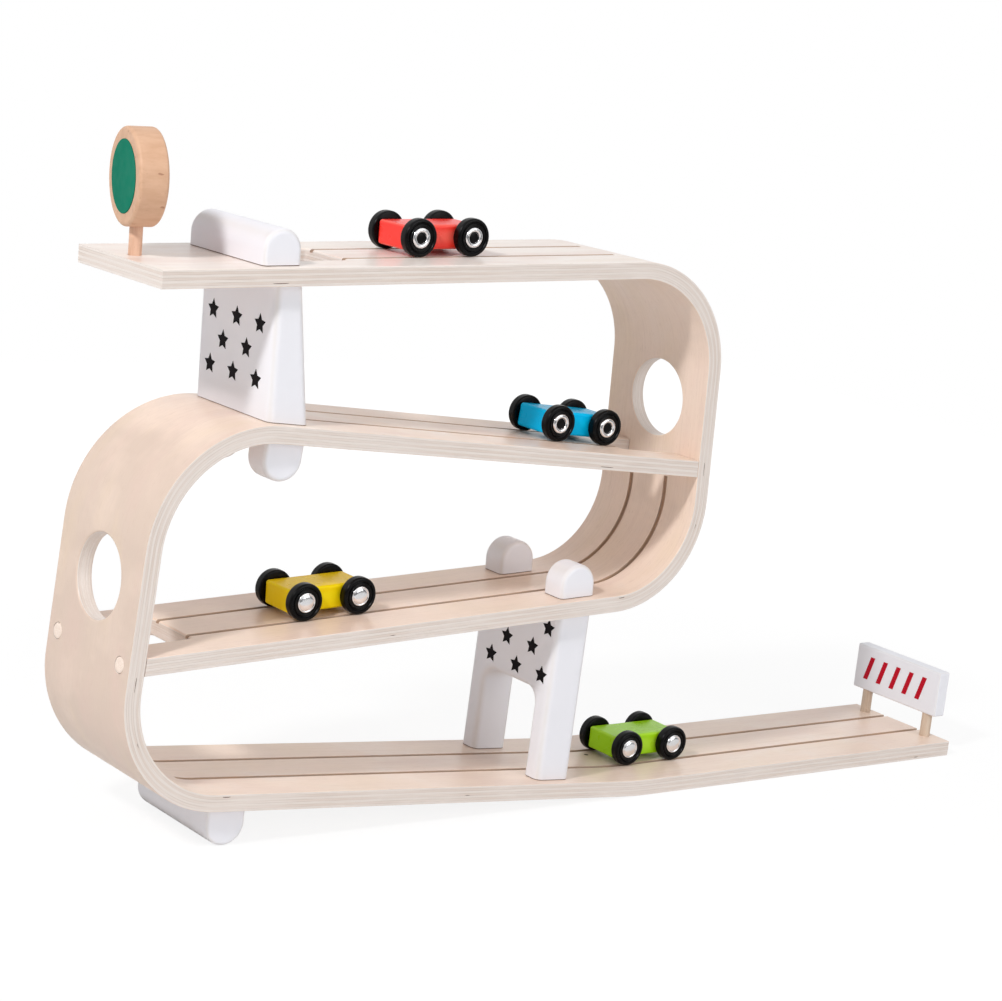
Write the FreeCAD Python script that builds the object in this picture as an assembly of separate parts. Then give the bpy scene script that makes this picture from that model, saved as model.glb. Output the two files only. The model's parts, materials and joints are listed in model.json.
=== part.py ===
import FreeCAD, Part
import math
import os
from FreeCAD import Vector

os.makedirs("parts", exist_ok=True)

# Bent tracks: length from the left wall to the end of the run-out, width and thickness
track_length = 645.6
track_width = 90.0
ply = 10.0

# Lower bent track: run-out on the floor, bottom deck, left wall, ramp 2
bottom_slope = 4.28
kink_from_left = 367.6
kink_radius = 280.0
left_wall_lean = 3.59
lower_left_radius = 67.7
ramp2_corner_height = 244.4
upper_left_radius = 71.7
ramp2_slope = 5.04

# Upper bent track: top deck, right wall, ramp 3
top_end_from_left = 0.4
top_end_height = 320.3
top_slope = 2.01
right_wall_from_left = 390.0
right_wall_lean = 1.90
upper_right_radius = 68.1
ramp3_corner_height = 123.1
lower_right_radius = 65.1
ramp3_slope = 2.89

# Round windows in the two walls, measured down the wall from its upper corner
window_diameter = 47.3
left_window_down = 96.8
right_window_down = 81.3

# Drop openings for the cars
drop_length = 41.0
drop_width = 42.0
drop_corner_radius = 2.0
bumper_to_drop_gap = 0.6

# Wheel grooves
groove_spacing = 32.1
groove_width = 3.0
groove_depth = 1.8
top_groove_end_from_left = 321.0
bottom_groove_start_from_left = 53.0
ramp3_groove_below_ramp2 = 6.0

# White blocks between the decks
block_width = 78.0
block_edge_radius = 4.5
bumper_from_left = 76.3
bumper_thickness = 24.0
bumper_height = 20.0
bumper_end_radius = 3.0
upper_post_from_left = 89.9
upper_post_base_thickness = 26.0
upper_post_top_thickness = 17.2
upper_post_top_shift = 7.1
lower_post_from_left = 304.3
lower_post_thickness = 25.6
lower_post_lean = 1.4
arch_width = 50.0
arch_height = 54.0
arch_radius = 9.0
pad_thickness = 25.4
pad_length = 18.0
pad_edge_radius = 3.0
ramp_pad_from_left = 306.8
ramp_pad_height = 20.0
under_pad_from_left = 89.6
under_pad_height = 22.0
foot_from_left = 74.2
foot_thickness = 25.0
foot_edge_radius = 2.5

# Screws that pull the ramp ends to the walls, and the wooden plugs over them
plug_diameter = 9.0
plug_spacing = 69.5
plug_length = 3.2
plug_proud = 0.3
screw_head_diameter = 7.5
screw_head_thickness = 2.0
screw_diameter = 3.6
screw_in_ramp = 16.0

# Swivelling round sign
sign_from_left = 11.9
sign_to_far_side = 4.8
sign_dowel_diameter = 7.2
sign_dowel_play = 0.1
sign_dowel_in_deck = 7.0
sign_dowel_in_disc = 12.0
sign_disc_diameter = 52.4
sign_disc_thickness = 16.5
sign_disc_edge_radius = 2.0
sign_disc_centre_above_deck = 41.3
sign_turn = 10.8
inset_diameter = 39.0
inset_depth = 2.0
inset_proud = 0.4

# Finish barrier
barrier_from_right = 7.5
board_thickness = 9.6
board_width = 78.6
board_height = 31.0
board_gap_above_deck = 16.3
board_edge_radius = 1.2
barrier_dowel_diameter = 7.0
barrier_dowel_spacing = 57.4
barrier_dowel_in_deck = 6.0
barrier_dowel_in_board = 12.0

# Cars
wheel_base = 36.4
tyre_diameter = 21.8
tyre_width = 6.2
wheel_to_deck = 0.25
body_width = 25.2
body_to_tyre = 0.4
body_height = 14.0
body_below_axle = 7.5
body_overhang = 8.0
body_edge_radius = 1.8
axle_diameter = 3.0
axle_play = 0.1
hub_cap_diameter = 12.6
hub_recess = 0.7
hub_cap_rim_width = 1.5
hub_cap_thickness = 1.4
hub_dish_depth = 0.6
sidewall_ring_width = 1.3
sidewall_ring_depth = 0.5
tread_bevel = 0.8
red_car_from_left = 197.5
blue_car_from_left = 311.6
yellow_car_from_left = 145.3
green_car_from_left = 399.1


def rad(a):
    return math.radians(a)


# The round sign reaches past the left wall; the origin is midway along the whole length
sign_face_x = math.cos(rad(sign_turn)) * math.cos(rad(top_slope))
sign_core = (sign_disc_thickness / 2 - sign_disc_edge_radius) * sign_face_x
sign_rim = (sign_disc_diameter / 2 - sign_disc_edge_radius) * math.sqrt(1 - sign_face_x ** 2)
sign_reach = sign_core + sign_rim + sign_disc_edge_radius
sign_lean = math.sin(rad(top_slope)) * sign_disc_centre_above_deck
sign_overhang = max(0.0, sign_reach + sign_lean - sign_from_left)
right_end = (track_length + sign_overhang) / 2
left_tip = right_end - track_length
half_width = track_width / 2


def add(p, q, s=1.0):
    return (p[0] + q[0] * s, p[1] + q[1] * s)


def unit(p, q):
    length = math.hypot(q[0] - p[0], q[1] - p[1])
    return ((q[0] - p[0]) / length, (q[1] - p[1]) / length)


def meet(p, u, q, v):
    # Crossing of the line through p along u with the line through q along v
    det = u[0] * v[1] - u[1] * v[0]
    s = ((q[0] - p[0]) * v[1] - (q[1] - p[1]) * v[0]) / det
    return add(p, u, s)


# Directions of the straight stretches in the XZ plane
run_dir = (1.0, 0.0)
bottom_dir = (math.cos(rad(bottom_slope)), -math.sin(rad(bottom_slope)))
left_wall_dir = (-math.sin(rad(left_wall_lean)), -math.cos(rad(left_wall_lean)))
ramp2_dir = (-math.cos(rad(ramp2_slope)), math.sin(rad(ramp2_slope)))
top_dir = (math.cos(rad(top_slope)), math.sin(rad(top_slope)))
right_wall_dir = (math.sin(rad(right_wall_lean)), -math.cos(rad(right_wall_lean)))
ramp3_dir = (-math.cos(rad(ramp3_slope)), -math.sin(rad(ramp3_slope)))

# Corners of the lower track, outer side, before rounding
corner_h = (left_tip + kink_from_left, 0.0)
corner_i = (right_end, 0.0)
bend_g_centre_x = left_tip + lower_left_radius
g_offset = add(corner_h, (math.sin(rad(bottom_slope)), math.cos(rad(bottom_slope))), lower_left_radius)
bend_g_centre = meet(g_offset, bottom_dir, (bend_g_centre_x, 0.0), (0.0, 1.0))
g_wall = add(bend_g_centre, (-math.cos(rad(left_wall_lean)), math.sin(rad(left_wall_lean))), lower_left_radius)
corner_g = meet(corner_h, bottom_dir, g_wall, left_wall_dir)
corner_f = meet(corner_g, left_wall_dir, (0.0, ramp2_corner_height), (1.0, 0.0))

# Corners of the upper track, outer side, before rounding
corner_a = (left_tip + top_end_from_left, top_end_height)
corner_b = meet(corner_a, top_dir, (left_tip + right_wall_from_left, 0.0), (0.0, 1.0))
corner_c = meet(corner_b, right_wall_dir, (0.0, ramp3_corner_height), (1.0, 0.0))

# Ramp 2 ends on the right wall, ramp 3 ends on the left wall
right_wall_in = (-math.cos(rad(right_wall_lean)), -math.sin(rad(right_wall_lean)))
left_wall_in = (math.cos(rad(left_wall_lean)), -math.sin(rad(left_wall_lean)))
right_inner = add(corner_b, right_wall_in, ply)
left_inner = add(corner_f, left_wall_in, ply)
corner_e = meet(corner_f, ramp2_dir, right_inner, right_wall_dir)
corner_d = meet(corner_c, ramp3_dir, left_inner, left_wall_dir)

lower_path = [corner_e, corner_f, corner_g, corner_h, corner_i]
lower_radii = [0, upper_left_radius, lower_left_radius, kink_radius, 0]
upper_path = [corner_a, corner_b, corner_c, corner_d]
upper_radii = [0, upper_right_radius, lower_right_radius, 0]


def offset_path(path, distance, side):
    # Corner points of the same path moved sideways; side is +1 for left of travel
    lines = []
    for p, q in zip(path[:-1], path[1:]):
        u = unit(p, q)
        lines.append((add(p, (-u[1] * side, u[0] * side), distance), u))
    out = [lines[0][0]]
    for (p, u), (q, v) in zip(lines[:-1], lines[1:]):
        out.append(meet(p, u, q, v))
    last = lines[-1]
    end = add(path[-1], (-last[1][1] * side, last[1][0] * side), distance)
    out.append(end)
    return out


def v3(p):
    return Vector(p[0], 0, p[1])


def rounded_edges(path, radii):
    edges = []
    start = path[0]
    for i in range(1, len(path) - 1):
        u = unit(path[i], path[i - 1])
        w = unit(path[i], path[i + 1])
        half = math.acos(max(-1, min(1, u[0] * w[0] + u[1] * w[1]))) / 2
        run = radii[i] / math.tan(half)
        t0 = add(path[i], u, run)
        t1 = add(path[i], w, run)
        middle = unit((0, 0), (u[0] + w[0], u[1] + w[1]))
        centre = add(path[i], middle, radii[i] / math.sin(half))
        top = add(centre, middle, -radii[i])
        edges.append(Part.LineSegment(v3(start), v3(t0)).toShape())
        edges.append(Part.Arc(v3(t0), v3(top), v3(t1)).toShape())
        start = t1
    edges.append(Part.LineSegment(v3(start), v3(path[-1])).toShape())
    return edges


def band(path, radii, side, near, far, y0, y1, end_lines=(None, None)):
    # Strip of a bent board between two depths below its outer face
    outer = offset_path(path, near, side)
    inner = offset_path(path, far, side)
    for end, line in ((0, end_lines[0]), (-1, end_lines[1])):
        if line:
            nxt = 1 if end == 0 else -2
            outer[end] = meet(outer[nxt], unit(outer[nxt], outer[end]), line[0], line[1])
            inner[end] = meet(inner[nxt], unit(inner[nxt], inner[end]), line[0], line[1])
    r_outer = [r - near if r else 0 for r in radii]
    r_inner = [r - far if r else 0 for r in radii]
    edges = rounded_edges(outer, r_outer)
    edges.append(Part.LineSegment(v3(outer[-1]), v3(inner[-1])).toShape())
    edges += rounded_edges(inner, r_inner)
    edges.append(Part.LineSegment(v3(inner[0]), v3(outer[0])).toShape())
    wire = Part.Wire(Part.__sortEdges__(edges))
    face = Part.Face(wire)
    face.translate(Vector(0, y0, 0))
    return face.extrude(Vector(0, y1 - y0, 0))


def block(x0, x1, y0, y1, z0, z1):
    return Part.makeBox(x1 - x0, y1 - y0, z1 - z0, Vector(x0, y0, z0))


def prism(points, y0, y1):
    # Straight-sided body from XZ points, drawn through the board width
    pts = [Vector(p[0], y0, p[1]) for p in points]
    face = Part.Face(Part.makePolygon(pts + [pts[0]]))
    return face.extrude(Vector(0, y1 - y0, 0))


def height_on(p, direction, x):
    return p[1] + (x - p[0]) * direction[1] / direction[0]


def fillet(shape, radius, keep):
    edges = [e for e in shape.Edges if keep(e)]
    return shape.makeFillet(radius, edges)


def is_upright(e):
    t = e.tangentAt(e.FirstParameter)
    return abs(t.z) > 0.9


def place(shape, origin, slope):
    # Stand a body made about its own origin on a sloped face
    shape = shape.copy()
    shape.rotate(Vector(0, 0, 0), Vector(0, 1, 0), -slope)
    shape.translate(Vector(origin[0], 0, origin[1]))
    return shape


def dome(thickness, height, y0, y1, edge_radius):
    # Block on z = 0 with a half-round top, edges of the ends eased
    half = thickness / 2
    straight = height - half
    a = Vector(-half, y0, -ply * 0.5)
    b = Vector(-half, y0, straight)
    c = Vector(0, y0, height)
    d = Vector(half, y0, straight)
    e = Vector(half, y0, -ply * 0.5)
    edges = [Part.LineSegment(a, b).toShape(), Part.Arc(b, c, d).toShape()]
    edges += [Part.LineSegment(d, e).toShape(), Part.LineSegment(e, a).toShape()]
    face = Part.Face(Part.Wire(edges))
    body = face.extrude(Vector(0, y1 - y0, 0))
    rim = [k for k in body.Edges if on_end(k, y0, y1) and k.BoundBox.ZMax > 0]
    body = body.makeFillet(edge_radius, rim)
    return body.cut(block(-half - 1, half + 1, y0 - 1, y1 + 1, -ply, 0))


def on_end(e, y0, y1):
    box = e.BoundBox
    flat = box.YMax - box.YMin < 0.001
    at_end = min(abs(box.YMin - y0), abs(box.YMin - y1)) < 0.001
    return flat and at_end


# Faces that other bodies rest on
ramp3_top = offset_path(upper_path, ply, -1)
ramp3_top_dir = unit(ramp3_top[2], ramp3_top[3])
bottom_top = offset_path(lower_path, ply, 1)
ramp2_under = bottom_top[1]
top_under = add(corner_a, (top_dir[1], -top_dir[0]), ply)
right_line = (right_inner, right_wall_dir)
left_line = (left_inner, left_wall_dir)

# Upper and lower track boards
upper_track = band(upper_path, upper_radii, -1, 0, ply, -half_width, half_width, (None, left_line))
lower_track = band(lower_path, lower_radii, 1, 0, ply, -half_width, half_width, (right_line, None))
upper_whole = upper_track.copy()
lower_whole = lower_track.copy()

# Round windows through the walls
window_left = add(corner_f, left_wall_dir, left_window_down)
window_right = add(ramp3_top[1], right_wall_dir, right_window_down)
left_normal = Vector(left_wall_in[0], 0, left_wall_in[1])
right_normal = Vector(right_wall_in[0], 0, right_wall_in[1])
window_radius = window_diameter / 2
left_cut = Part.makeCylinder(window_radius, ply * 3, v3(window_left) - left_normal * ply, left_normal)
right_cut = Part.makeCylinder(window_radius, ply * 3, v3(window_right) - right_normal * ply, right_normal)
lower_track = lower_track.cut(left_cut)
upper_track = upper_track.cut(right_cut)

# Drop openings: beside the bumper, at the right wall, at the left wall
bumper_x = left_tip + bumper_from_left
drop1_x0 = bumper_x + bumper_thickness / 2 + bumper_to_drop_gap
drop1_x1 = drop1_x0 + drop_length
drop_half = drop_width / 2
drop1_z = height_on(corner_a, top_dir, drop1_x0)
drop1 = block(drop1_x0, drop1_x1, -drop_half, drop_half, drop1_z - ply * 3, drop1_z + ply * 3)
drop1 = fillet(drop1, drop_corner_radius, is_upright)
drop2_x0 = corner_e[0] - drop_length
drop2 = block(drop2_x0, corner_e[0] + ply, -drop_half, drop_half, corner_e[1] - ply * 3, corner_e[1] + ply * 3)
drop2 = fillet(drop2, drop_corner_radius, is_upright)
drop3_end = meet(ramp3_top[2], ramp3_top_dir, left_inner, left_wall_dir)
drop3_x1 = drop3_end[0] + drop_length
drop3 = block(drop3_end[0] - ply, drop3_x1, -drop_half, drop_half, drop3_end[1] - ply * 3, drop3_end[1] + ply * 3)
drop3 = fillet(drop3, drop_corner_radius, is_upright)
upper_track = upper_track.cut(drop1)
upper_track = upper_track.cut(drop3)
lower_track = lower_track.cut(drop2)

# Wheel grooves: top deck, ramp 2, ramp 3 with its bend, bottom deck with its bend
post_x = left_tip + upper_post_from_left
ramp2_groove_x0 = post_x + upper_post_base_thickness / 2
top_groove_x1 = left_tip + top_groove_end_from_left
bottom_groove_x0 = left_tip + bottom_groove_start_from_left
ramp2_under_z = corner_e[1] - ply
below = ply * 4
top_zone = block(drop1_x0, top_groove_x1, -half_width, half_width, corner_a[1] - below, corner_b[1] + below)
ramp2_zone = block(ramp2_groove_x0, drop2_x0 + 1, -half_width, half_width, corner_e[1], corner_f[1])
ramp3_zone = block(drop3_x1 - 1, corner_c[0], -half_width, half_width, 0, ramp2_under_z - ramp3_groove_below_ramp2)
bottom_zone = block(bottom_groove_x0, right_end + 1, -half_width, half_width, -1, corner_g[1] + below)
for side in (-1, 1):
    y0 = side * groove_spacing / 2 - groove_width / 2
    y1 = y0 + groove_width
    outer_up = band(upper_path, upper_radii, -1, -1, groove_depth, y0, y1, (None, left_line))
    inner_up = band(upper_path, upper_radii, -1, ply - groove_depth, ply + 1, y0, y1, (None, left_line))
    outer_low = band(lower_path, lower_radii, 1, -1, groove_depth, y0, y1, (right_line, None))
    inner_low = band(lower_path, lower_radii, 1, ply - groove_depth, ply + 1, y0, y1, (right_line, None))
    upper_track = upper_track.cut(outer_up.common(top_zone))
    upper_track = upper_track.cut(inner_up.common(ramp3_zone))
    lower_track = lower_track.cut(outer_low.common(ramp2_zone))
    lower_track = lower_track.cut(inner_low.common(bottom_zone))

# Screws and plugs at the ends of ramps 2 and 3
ramp3_mid = add(corner_c, (-ramp3_dir[1], ramp3_dir[0]), -ply / 2)
if ramp3_mid[1] < corner_c[1]:
    ramp3_mid = add(corner_c, (-ramp3_dir[1], ramp3_dir[0]), ply / 2)
ramp2_mid = add(corner_f, (-ramp2_dir[1], ramp2_dir[0]), ply / 2)
left_screw = meet(ramp3_mid, ramp3_dir, corner_f, left_wall_dir)
right_screw = meet(ramp2_mid, ramp2_dir, corner_b, right_wall_dir)
head_top = plug_length - plug_proud
head_bottom = head_top + screw_head_thickness
screw_tip = ply + screw_in_ramp


def wall_fixing(point, inward):
    # Plugs, screws and the stepped hole they fill, for one wall
    plugs = []
    screws = []
    holes = []
    for side in (-1, 1):
        at = Vector(point[0], side * plug_spacing / 2, point[1])
        head = at + inward * head_top
        plug = Part.makeCylinder(plug_diameter / 2, plug_length, at - inward * plug_proud, inward)
        rim = [e for e in plug.Edges if e.BoundBox.DiagonalLength > plug_diameter and len(e.Vertexes) == 1]
        rim = [e for e in rim if (e.CenterOfMass - at).dot(inward) < 0]
        plugs.append(plug.makeFillet(plug_proud, rim))
        shank = Part.makeCylinder(screw_diameter / 2, screw_tip - head_top, head, inward)
        cap = Part.makeCylinder(screw_head_diameter / 2, screw_head_thickness, head, inward)
        screws.append(cap.fuse(shank).removeSplitter())
        bore = Part.makeCylinder(screw_diameter / 2, screw_tip + 1, at, inward)
        counter = Part.makeCylinder(plug_diameter / 2, head_top + 2, at - inward * 2, inward)
        seat = Part.makeCylinder(screw_head_diameter / 2, head_bottom, at, inward)
        holes.append(bore.fuse([counter, seat]))
    return plugs, screws, holes


left_plugs, left_screws, left_holes = wall_fixing(left_screw, left_normal)
right_plugs, right_screws, right_holes = wall_fixing(right_screw, right_normal)
for hole in left_holes + right_holes:
    upper_track = upper_track.cut(hole)
    lower_track = lower_track.cut(hole)

# Bumper on the top deck, left of its opening
bumper_at = (bumper_x, height_on(corner_a, top_dir, bumper_x))
half_block = block_width / 2
bumper = dome(bumper_thickness, bumper_height, -half_block, half_block, bumper_end_radius)
top_bumper = place(bumper, bumper_at, top_slope)

# Tapered post between ramp 2 and the top deck
post_base_z = height_on(corner_f, ramp2_dir, post_x)
post_top_z = height_on(top_under, top_dir, post_x - upper_post_top_shift)
post_rise = post_top_z - post_base_z
base_half = upper_post_base_thickness / 2
top_half = upper_post_top_thickness / 2
sink = ply
left_lean = (upper_post_top_shift - (base_half - top_half)) / post_rise
right_lean = (upper_post_top_shift + (base_half - top_half)) / post_rise
post_points = [
    (post_x - base_half + left_lean * sink, post_base_z - sink),
    (post_x + base_half + right_lean * sink, post_base_z - sink),
    (post_x + base_half - right_lean * (post_rise + sink), post_top_z + sink),
    (post_x - base_half - left_lean * (post_rise + sink), post_top_z + sink),
]
upper_post = prism(post_points, -half_block, half_block)
upper_post = fillet(upper_post, block_edge_radius, is_upright)
upper_post = upper_post.cut(upper_whole)
upper_post = upper_post.cut(lower_whole)
keep_x = upper_post_base_thickness
upper_keep = block(post_x - keep_x, post_x + keep_x, -half_width, half_width, post_base_z - ply / 2, post_top_z + ply / 2)
upper_post = max(upper_post.common(upper_keep).Solids, key=lambda s: s.Volume)

# Short pads below ramp 2, under the upper post
under_x = left_tip + under_pad_from_left
under_at = (under_x, height_on(ramp2_under, ramp2_dir, under_x))


def hanging(shape, at, slope):
    # The same block turned upside down under a sloped face
    shape = shape.copy()
    shape.rotate(Vector(0, 0, 0), Vector(0, 1, 0), 180)
    shape.rotate(Vector(0, 0, 0), Vector(0, 1, 0), slope)
    shape.translate(Vector(at[0], 0, at[1]))
    return shape


def pad_pair(height):
    near = dome(pad_thickness, height, -half_block, -half_block + pad_length, pad_edge_radius)
    far = dome(pad_thickness, height, half_block - pad_length, half_block, pad_edge_radius)
    return near, far


pad_near, pad_far = pad_pair(under_pad_height)
under_pad_near = hanging(pad_near, under_at, ramp2_slope)
under_pad_far = hanging(pad_far, under_at, ramp2_slope)
under_pad_near = under_pad_near.cut(lower_whole)
under_pad_far = under_pad_far.cut(lower_whole)
under_pad_near = max(under_pad_near.Solids, key=lambda s: s.Volume)
under_pad_far = max(under_pad_far.Solids, key=lambda s: s.Volume)

# Lower post with its arch, between the bottom deck and ramp 3
low_x = left_tip + lower_post_from_left
low_z = height_on(bottom_top[2], bottom_dir, low_x)
ramp3_under_z = height_on(corner_c, ramp3_dir, low_x)
low_rise = ramp3_under_z - low_z
lean = math.tan(rad(lower_post_lean))
low_half = lower_post_thickness / 2
low_points = [
    (low_x - low_half - lean * ply, low_z - ply),
    (low_x + low_half - lean * ply, low_z - ply),
    (low_x + low_half + lean * (low_rise + ply), ramp3_under_z + ply),
    (low_x - low_half + lean * (low_rise + ply), ramp3_under_z + ply),
]
lower_post = prism(low_points, -half_block, half_block)
arch_half = arch_width / 2
arch = block(low_x - ply * 4, low_x + ply * 4, -arch_half, arch_half, low_z - ply * 3, low_z + arch_height)
arch = fillet(arch, arch_radius, lambda e: abs(e.tangentAt(e.FirstParameter).x) > 0.9 and e.BoundBox.ZMin > low_z)
lower_post = lower_post.cut(arch)
lower_post = fillet(lower_post, block_edge_radius, lambda e: is_upright(e) and e.Length > arch_height * 0.7)
lower_post = lower_post.cut(upper_whole)
lower_post = lower_post.cut(lower_whole)
keep_x = lower_post_thickness
low_keep = block(low_x - keep_x, low_x + keep_x, -half_width, half_width, low_z - ply / 2, ramp3_under_z + ply / 2)
lower_post = max(lower_post.common(low_keep).Solids, key=lambda s: s.Volume)

# Pads on ramp 3 above the lower post
pad_x = left_tip + ramp_pad_from_left
pad_at = (pad_x, height_on(ramp3_top[2], ramp3_dir, pad_x))
pad_near, pad_far = pad_pair(ramp_pad_height)
ramp_pad_near = place(pad_near, pad_at, ramp3_slope)
ramp_pad_far = place(pad_far, pad_at, ramp3_slope)

# Foot bar under the left end of the bottom deck, down to the floor
foot_x = left_tip + foot_from_left
foot_top_z = height_on(corner_h, bottom_dir, foot_x)
foot_bar = dome(foot_thickness, foot_top_z, -half_block, half_block, foot_edge_radius)
foot_bar.rotate(Vector(0, 0, 0), Vector(0, 1, 0), 180)
foot_bar.translate(Vector(foot_x, 0, foot_top_z))
foot_fill = block(foot_x - foot_thickness / 2, foot_x + foot_thickness / 2, -half_block, half_block, foot_top_z, foot_top_z + ply / 2)
foot_fill = fillet(foot_fill, foot_edge_radius, is_upright)
foot_bar = foot_bar.fuse(foot_fill).removeSplitter()
foot_bar = foot_bar.cut(lower_whole)
foot_bar = max(foot_bar.Solids, key=lambda s: s.Volume)

# Round sign on its dowel, at the left end of the top deck
sign_x = left_tip + sign_from_left
sign_at = (sign_x, height_on(corner_a, top_dir, sign_x))
disc_radius = sign_disc_diameter / 2
disc_z = sign_disc_centre_above_deck
disc = Part.makeCylinder(disc_radius, sign_disc_thickness, Vector(-sign_disc_thickness / 2, 0, disc_z), Vector(1, 0, 0))
disc = fillet(disc, sign_disc_edge_radius, lambda e: e.BoundBox.XMax - e.BoundBox.XMin < 0.001)
inset_radius = inset_diameter / 2
inset_bottom = sign_disc_thickness / 2 - inset_depth
inset_length = inset_depth + inset_proud
green_at = Vector(-inset_bottom, 0, disc_z)
red_at = Vector(inset_bottom, 0, disc_z)
green = Part.makeCylinder(inset_radius, inset_length, green_at, Vector(-1, 0, 0))
red = Part.makeCylinder(inset_radius, inset_length, red_at, Vector(1, 0, 0))
disc = disc.cut(green)
disc = disc.cut(red)
sign_dowel_top = disc_z - disc_radius + sign_dowel_in_disc
sign_dowel_length = sign_dowel_top + sign_dowel_in_deck
dowel_base = Vector(0, 0, -sign_dowel_in_deck)
sign_dowel = Part.makeCylinder(sign_dowel_diameter / 2, sign_dowel_length, dowel_base)
disc = disc.cut(sign_dowel)
sign_socket = Part.makeCylinder(sign_dowel_diameter / 2 + sign_dowel_play / 2, sign_dowel_in_deck + 5, dowel_base)
sign_socket.translate(Vector(0, sign_to_far_side, 0))
sign_socket = place(sign_socket, sign_at, top_slope)
upper_track = upper_track.cut(sign_socket)


def on_sign(shape):
    shape = shape.copy()
    shape.rotate(Vector(0, 0, 0), Vector(0, 0, 1), -sign_turn)
    shape.translate(Vector(0, sign_to_far_side, 0))
    return place(shape, sign_at, top_slope)


sign_disc = on_sign(disc)
sign_green_inset = on_sign(green)
sign_red_inset = on_sign(red)
sign_dowel = on_sign(sign_dowel)

# Finish barrier: board on two dowels at the end of the run-out
barrier_x = right_end - barrier_from_right
board_z = ply + board_gap_above_deck
half_board = board_width / 2
half_thick = board_thickness / 2
barrier_board = block(barrier_x - half_thick, barrier_x + half_thick, -half_board, half_board, board_z, board_z + board_height)
barrier_board = barrier_board.makeFillet(board_edge_radius, barrier_board.Edges)
barrier_dowels = []
dowel_bottom = ply - barrier_dowel_in_deck
dowel_length = board_z + barrier_dowel_in_board - dowel_bottom
for side in (-1, 1):
    at = Vector(barrier_x, side * barrier_dowel_spacing / 2, dowel_bottom)
    barrier_dowels.append(Part.makeCylinder(barrier_dowel_diameter / 2, dowel_length, at))
for dowel in barrier_dowels:
    barrier_board = barrier_board.cut(dowel)
    lower_track = lower_track.cut(dowel)

# Shapes shared by the four cars, drawn with the deck at z = 0 and travel along X
tyre_radius = tyre_diameter / 2
axle_z = tyre_radius + wheel_to_deck
body_half = body_width / 2
tyre_inner = body_half + body_to_tyre
tyre_outer = tyre_inner + tyre_width
cap_radius = hub_cap_diameter / 2
half_base = wheel_base / 2
body_half_length = half_base + body_overhang
body_z0 = axle_z - body_below_axle
body_z1 = body_z0 + body_height
bore_radius = axle_diameter / 2 + axle_play / 2

car_body = block(-body_half_length, body_half_length, -body_half, body_half, body_z0, body_z1)
car_body = car_body.makeFillet(body_edge_radius, car_body.Edges)
for side in (-1, 1):
    at = Vector(side * half_base, -body_half - 1, axle_z)
    bore = Part.makeCylinder(bore_radius, body_width + 2, at, Vector(0, 1, 0))
    car_body = car_body.cut(bore)

# Tyre section as radius and distance from the inner side, turned about the axle
ring_outer = tyre_radius - tread_bevel - sidewall_ring_width
ring_inner = cap_radius + 0.5
cap_seat = tyre_width - hub_recess
tyre_section = [
    (axle_diameter / 2, 0.0),
    (tyre_radius - tread_bevel, 0.0),
    (tyre_radius, tread_bevel),
    (tyre_radius, tyre_width - tread_bevel),
    (tyre_radius - tread_bevel, tyre_width),
    (ring_outer, tyre_width),
    (ring_outer - sidewall_ring_depth, tyre_width - sidewall_ring_depth),
    (ring_inner, tyre_width - sidewall_ring_depth),
    (cap_radius, cap_seat),
    (axle_diameter / 2, cap_seat),
]


def turned(section):
    pts = [Vector(r, y, 0) for r, y in section]
    face = Part.Face(Part.makePolygon(pts + [pts[0]]))
    return face.revolve(Vector(0, 0, 0), Vector(0, 1, 0), 360)


cap_section = [
    (0.0, 0.0),
    (cap_radius, 0.0),
    (cap_radius, hub_cap_thickness - 0.4),
    (cap_radius - 0.4, hub_cap_thickness),
    (cap_radius - hub_cap_rim_width, hub_cap_thickness),
    (cap_radius - hub_cap_rim_width - 0.5, hub_cap_thickness - hub_dish_depth),
    (0.0, hub_cap_thickness - hub_dish_depth),
]
tyre = turned(tyre_section)
cap = turned(cap_section)
axle_half = tyre_inner + cap_seat
axle = Part.makeCylinder(axle_diameter / 2, 2 * axle_half, Vector(0, -axle_half, 0), Vector(0, 1, 0))


def wheel_side(shape, start, side):
    # Far side as drawn, near side turned half a turn about the upright line
    shape = shape.copy()
    shape.translate(Vector(0, start, 0))
    if side < 0:
        shape.rotate(Vector(0, 0, 0), Vector(0, 0, 1), 180)
    return shape


def save(name, shapes):
    if len(shapes) == 1:
        shapes[0].exportStep("parts/" + name + ".step")
    else:
        Part.makeCompound(shapes).exportStep("parts/" + name + ".step")


def make_car(name, at, slope):
    def on_deck(shape, x=0.0):
        shape = shape.copy()
        shape.translate(Vector(x, 0, 0))
        return place(shape, at, slope)

    save(name + "_body", [on_deck(car_body)])
    for end, x in (("left", -half_base), ("right", half_base)):
        def on_axle(shape, x=x):
            shape = shape.copy()
            shape.translate(Vector(0, 0, axle_z))
            return on_deck(shape, x)

        save(name + "_" + end + "_axle", [on_axle(axle)])
        caps = []
        for word, side in (("near", -1), ("far", 1)):
            wheel = on_axle(wheel_side(tyre, tyre_inner, side))
            save(name + "_" + end + "_tyre_" + word, [wheel])
            caps.append(on_axle(wheel_side(cap, axle_half, side)))
        save(name + "_" + end + "_hub_caps", caps)


red_x = left_tip + red_car_from_left
blue_x = left_tip + blue_car_from_left
yellow_x = left_tip + yellow_car_from_left
green_x = left_tip + green_car_from_left
make_car("red_car", (red_x, height_on(corner_a, top_dir, red_x)), top_slope)
make_car("blue_car", (blue_x, height_on(corner_f, ramp2_dir, blue_x)), -ramp2_slope)
make_car("yellow_car", (yellow_x, height_on(ramp3_top[2], ramp3_dir, yellow_x)), ramp3_slope)
make_car("green_car", (green_x, ply), 0.0)

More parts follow.
